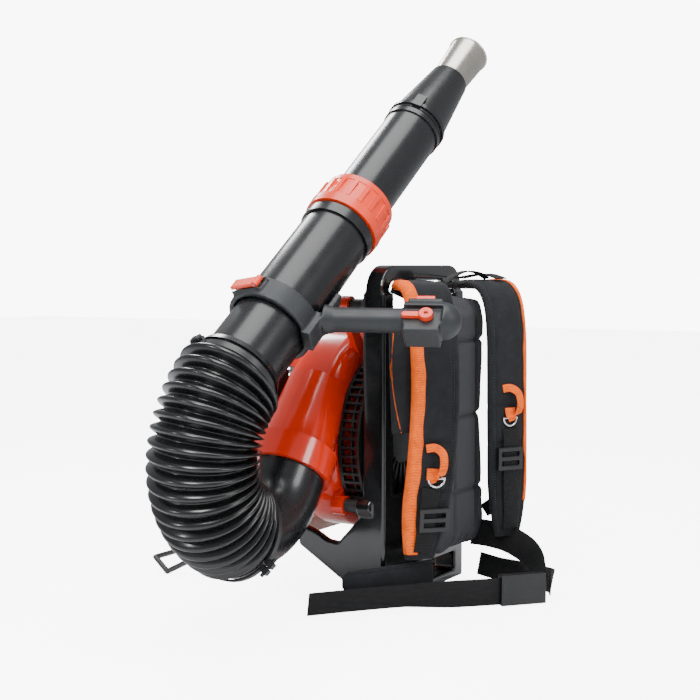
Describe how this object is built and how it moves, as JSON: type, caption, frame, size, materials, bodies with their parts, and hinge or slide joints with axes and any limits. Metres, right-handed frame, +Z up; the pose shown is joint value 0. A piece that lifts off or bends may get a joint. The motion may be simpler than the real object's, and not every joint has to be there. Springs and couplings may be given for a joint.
{
  "type": "backpack leaf blower",
  "caption": "Petrol leaf blower on a backpack frame with padded harness, side-swinging blower tube on a bellows hose, pistol control handle and flared steel nozzle.",
  "frame": {"origin": "on the ground under the middle of the back frame's foot plate", "axes": "+X to the wearer's left, -Y towards the wearer's back (harness side), +Y to the engine, +Z up"},
  "size_m": [0.6567, 0.5934, 0.8076],
  "materials": {
    "black_plastic": "moulded, semi-gloss",
    "matte_black": "fine texture",
    "orange_housing": "high gloss",
    "orange_part": "satin",
    "black_rubber": "satin",
    "steel": "brushed",
    "aluminium": "cast",
    "painted_steel": "satin",
    "white_plastic": "translucent",
    "ceramic": "glazed",
    "foam": "open foam",
    "black_fabric": "woven",
    "webbing": "ribbed webbing"
  },
  "bodies": {
    "chassis": {"back_frame": "black_plastic", "rear_stand": "painted_steel", "av_mounts": "black_rubber", "mount_bolts": "steel", "fan_housing_front": "orange_housing", "fan_housing_rear": "orange_housing", "housing_screws": "steel", "intake_screen": "matte_black", "crank_bearings": "steel", "crankcase": "aluminium", "cylinder": "aluminium", "spark_plug": "ceramic", "plug_cap": "black_rubber", "muffler": "painted_steel", "carburettor": "aluminium", "air_filter": "foam", "air_filter_cover": "matte_black", "ignition_coil": "matte_black", "starter_housing": "matte_black", "engine_cover": "orange_housing", "fuel_tank": "white_plastic", "elbow": "black_plastic", "back_pad": "black_fabric", "shoulder_strap_right": "black_fabric", "shoulder_strap_left": "black_fabric", "strap_adjusters": "matte_black", "d_rings": "steel", "hip_belt": "webbing", "buckle_socket": "matte_black", "buckle_tab": "matte_black"},
    "hose": {"lower_hose_clamp": "steel", "bellows_hose": "black_rubber"},
    "tube": {"upper_hose_clamp": "steel", "lower_tube": "black_plastic", "tube_ring": "black_plastic", "throttle_cable": "black_rubber", "upper_tube": "black_plastic", "nozzle_cone": "black_plastic", "steel_nozzle": "steel"},
    "handle": {"handle_ring": "matte_black", "control_grip": "matte_black", "control_pod": "matte_black", "control_pins": "steel", "cam_pin": "steel"},
    "cam": {"cam_lever": "orange_part"},
    "trigger": {"throttle_trigger": "orange_part"},
    "lock_lever": {"throttle_lock_lever": "orange_part"},
    "collar": {"lock_collar": "orange_part"},
    "rotor": {"crankshaft": "steel", "impeller": "orange_part", "impeller_nut": "steel"},
    "piston_set": {"piston": "aluminium", "connecting_rod": "steel"},
    "knob": {"filter_knob": "matte_black"},
    "choke": {"choke_lever": "orange_part"},
    "primer": {"primer_bulb": "black_rubber"},
    "cap": {"fuel_cap": "matte_black"},
    "pulley": {"starter_pulley": "white_plastic"},
    "pull_handle": {"starter_handle": "matte_black"}
  },
  "joints": [
    {"name": "tube_swing", "type": "hinge", "parent": "chassis", "child": "hose", "pos_m": [-0.30518, 0.1, 0.12705], "axis": [0.9573, 0, -0.289], "range_deg": [-20, 8]},
    {"name": "tube_lift", "type": "hinge", "parent": "hose", "child": "tube", "pos_m": [-0.2716, 0.0857, 0.2383], "axis": [-0.0352, -0.9925, -0.1167], "range_deg": [-2, 34], "deforming": ["bellows_hose"]},
    {"name": "handle_swivel", "type": "hinge", "parent": "tube", "child": "handle", "pos_m": [-0.26776, 0.06702, 0.3963], "axis": [0.7506, -0.1034, 0.6526], "range_deg": [-20, 8]},
    {"name": "cam_open", "type": "hinge", "parent": "handle", "child": "cam", "pos_m": [-0.31057, 0.065, 0.44522], "axis": [0.7506, -0.1034, 0.6526], "range_deg": [0, 70]},
    {"name": "trigger_pull", "type": "hinge", "parent": "handle", "child": "trigger", "pos_m": [-0.18585, -0.12263, 0.40881], "axis": [0.6559, 0.236, -0.717], "range_deg": [0, 14], "stiffness_Nm_per_rad": 0.3},
    {"name": "lever_set", "type": "hinge", "parent": "handle", "child": "lock_lever", "pos_m": [-0.21818, -0.12547, 0.40104], "axis": [-0.6559, -0.236, 0.717], "range_deg": [-15, 15]},
    {"name": "collar_turn", "type": "hinge", "parent": "tube", "child": "collar", "pos_m": [-0.11163, 0.04553, 0.53205], "axis": [0.7506, -0.1034, 0.6526], "range_deg": [0, 40]},
    {"name": "fan_spin", "type": "hinge", "parent": "chassis", "child": "rotor", "pos_m": [0, 0.1, 0.216], "axis": [0, 1, 0], "continuous": true},
    {"name": "piston_stroke", "type": "slide", "parent": "chassis", "child": "piston_set", "axis": [0, 0, 1], "range_m": [-0.012, 0.012]},
    {"name": "filter_knob_turn", "type": "hinge", "parent": "chassis", "child": "knob", "pos_m": [-0.108, 0.197, 0.284], "axis": [-1, 0, 0], "continuous": true},
    {"name": "choke_turn", "type": "hinge", "parent": "chassis", "child": "choke", "pos_m": [-0.06, 0.2083, 0.284], "axis": [0, -1, 0], "range_deg": [0, 28]},
    {"name": "primer_press", "type": "slide", "parent": "chassis", "child": "primer", "axis": [0, 0, 1], "range_m": [0, 0.003], "stiffness_N_per_m": 300, "deforming": ["primer_bulb"]},
    {"name": "fuel_cap_turn", "type": "hinge", "parent": "chassis", "child": "cap", "pos_m": [0.076, 0.176, 0.152], "axis": [0, 0, 1], "continuous": true},
    {"name": "starter_pull", "type": "slide", "parent": "chassis", "child": "pull_handle", "axis": [1, 0, 0], "range_m": [0, 0.3], "stiffness_N_per_m": 4},
    {"name": "pulley_spin", "type": "hinge", "parent": "chassis", "child": "pulley", "pos_m": [0, 0.24, 0.216], "axis": [0, 1, 0], "range_deg": [-580, 10]}
  ],
  "couplings": [
    {"joint": "pulley_spin", "follows": "starter_pull", "rad_per_m": -33.333}
  ]
}
